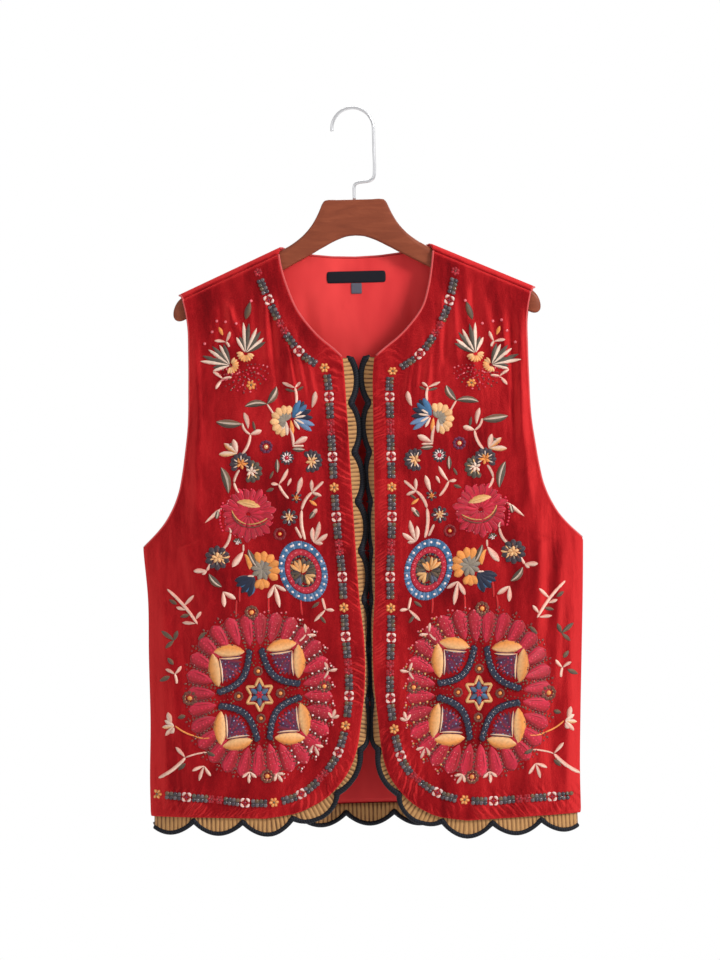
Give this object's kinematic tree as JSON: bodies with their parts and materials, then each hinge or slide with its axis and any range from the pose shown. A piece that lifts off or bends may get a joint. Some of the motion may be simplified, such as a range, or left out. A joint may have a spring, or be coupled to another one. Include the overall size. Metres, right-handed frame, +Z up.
{
  "type": "embroidered velvet vest on a hanger",
  "caption": "Sleeveless velvet vest with scalloped trim on its open front edges and hem, hung on a wooden hanger with a bent wire hook.",
  "frame": {"origin": "the point inside the top of the hanger's hook where a rail carries it", "axes": "+Z up, +Y towards the back of the vest, +X towards the side that the hook's upright is on"},
  "size_m": [0.4551, 0.0615, 0.759],
  "materials": {
    "velvet": "dark red velvet pile",
    "satin": "plain coral-red lining",
    "gold_thread": "ribbed tan braid",
    "black_cord": "black cord",
    "label": "woven black tape, bare",
    "wood": "stained and varnished",
    "wire": "bright"
  },
  "bodies": {
    "root": {"front_left": "velvet", "front_right": "velvet", "back": "velvet", "lining_back": "satin", "trim_left": "gold_thread", "trim_right": "gold_thread", "trim_back": "gold_thread", "edging_left": "black_cord", "edging_right": "black_cord", "edging_back": "black_cord", "neck_label": "label", "size_tab": "label", "hanger_body": "wood", "hanger_hook": "wire"}
  },
  "joints": []
}
